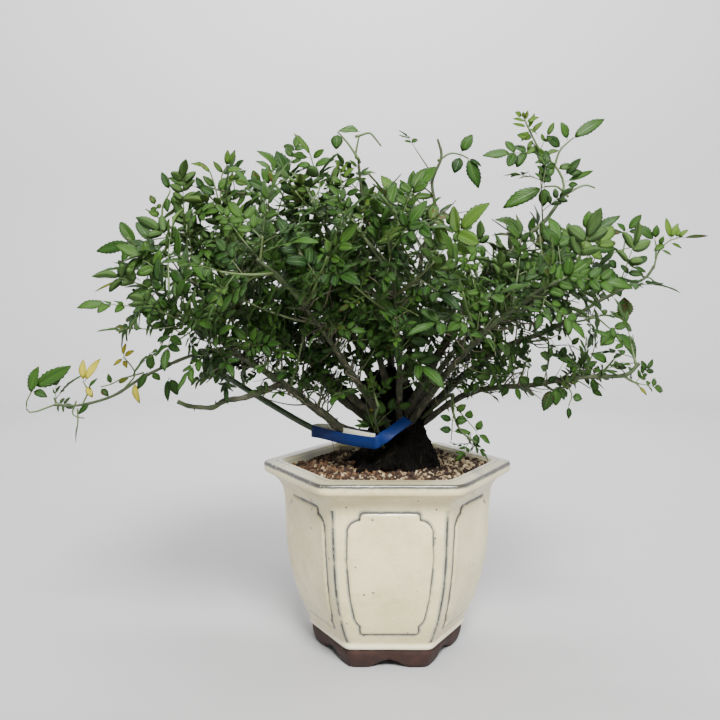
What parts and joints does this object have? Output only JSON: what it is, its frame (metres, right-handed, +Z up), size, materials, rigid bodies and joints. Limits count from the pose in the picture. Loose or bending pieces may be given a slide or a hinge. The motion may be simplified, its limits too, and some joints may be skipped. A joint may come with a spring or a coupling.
{
  "type": "rose bonsai",
  "caption": "Shrub rose trained as a bonsai: fluted stump, arching thorny canes and pinnate leaves, in gritty soil in a six-sided glazed pot on cut feet.",
  "frame": {"origin": "on the pot's axis, at the level that its feet stand on", "axes": "+Z up; +X along the crown's longest spread, to the right as seen from the front; +Y to the back"},
  "size_m": [0.5461, 0.2864, 0.4389],
  "materials": {
    "glaze": "gloss",
    "net_plastic": "matte",
    "grit": "matte",
    "bark": "matte",
    "young_bark": "satin",
    "tag_plastic": "satin",
    "leaf": "satin"
  },
  "bodies": {
    "root": {"pot": "glaze", "drain_net": "net_plastic", "soil": "grit", "trunk": "bark", "green_cane": "young_bark", "plant_tag": "tag_plastic", "shoot_top_right": "leaf", "shoot_top_middle": "leaf", "shoot_top_twig": "leaf", "shoot_far_right": "leaf", "shoot_far_left": "leaf", "shoot_left": "leaf", "shoot_right": "leaf", "shoot_01_5": "leaf", "shoot_01_2": "leaf", "shoot_02_9": "leaf", "shoot_02_6": "leaf", "shoot_02_3": "leaf", "shoot_03_8": "leaf", "shoot_03_5": "leaf", "shoot_03_2": "leaf", "shoot_04_8": "leaf", "shoot_04_5": "leaf", "shoot_05_5": "leaf", "shoot_06_10": "leaf", "shoot_06_7": "leaf", "shoot_06_4": "leaf", "shoot_06_1": "leaf", "shoot_07_5": "leaf", "shoot_07_2": "leaf", "shoot_09_8": "leaf", "shoot_09_5": "leaf", "shoot_10_7": "leaf", "shoot_10_3": "leaf", "shoot_11_7": "leaf", "shoot_11_4": "leaf", "shoot_11_1": "leaf", "shoot_12_8": "leaf", "shoot_12_5": "leaf", "shoot_12_2": "leaf", "shoot_13_6": "leaf", "shoot_13_3": "leaf", "shoot_14_7": "leaf", "shoot_14_4": "leaf", "shoot_15_7": "leaf", "shoot_15_4": "leaf", "shoot_15_1": "leaf", "shoot_16_10": "leaf", "shoot_16_7": "leaf", "shoot_16_4": "leaf", "shoot_17_7": "leaf", "shoot_17_4": "leaf", "shoot_18_6": "leaf", "shoot_18_3": "leaf", "shoot_19_4": "leaf", "shoot_19_1": "leaf", "shoot_20_5": "leaf", "shoot_21_6": "leaf"}
  },
  "joints": []
}
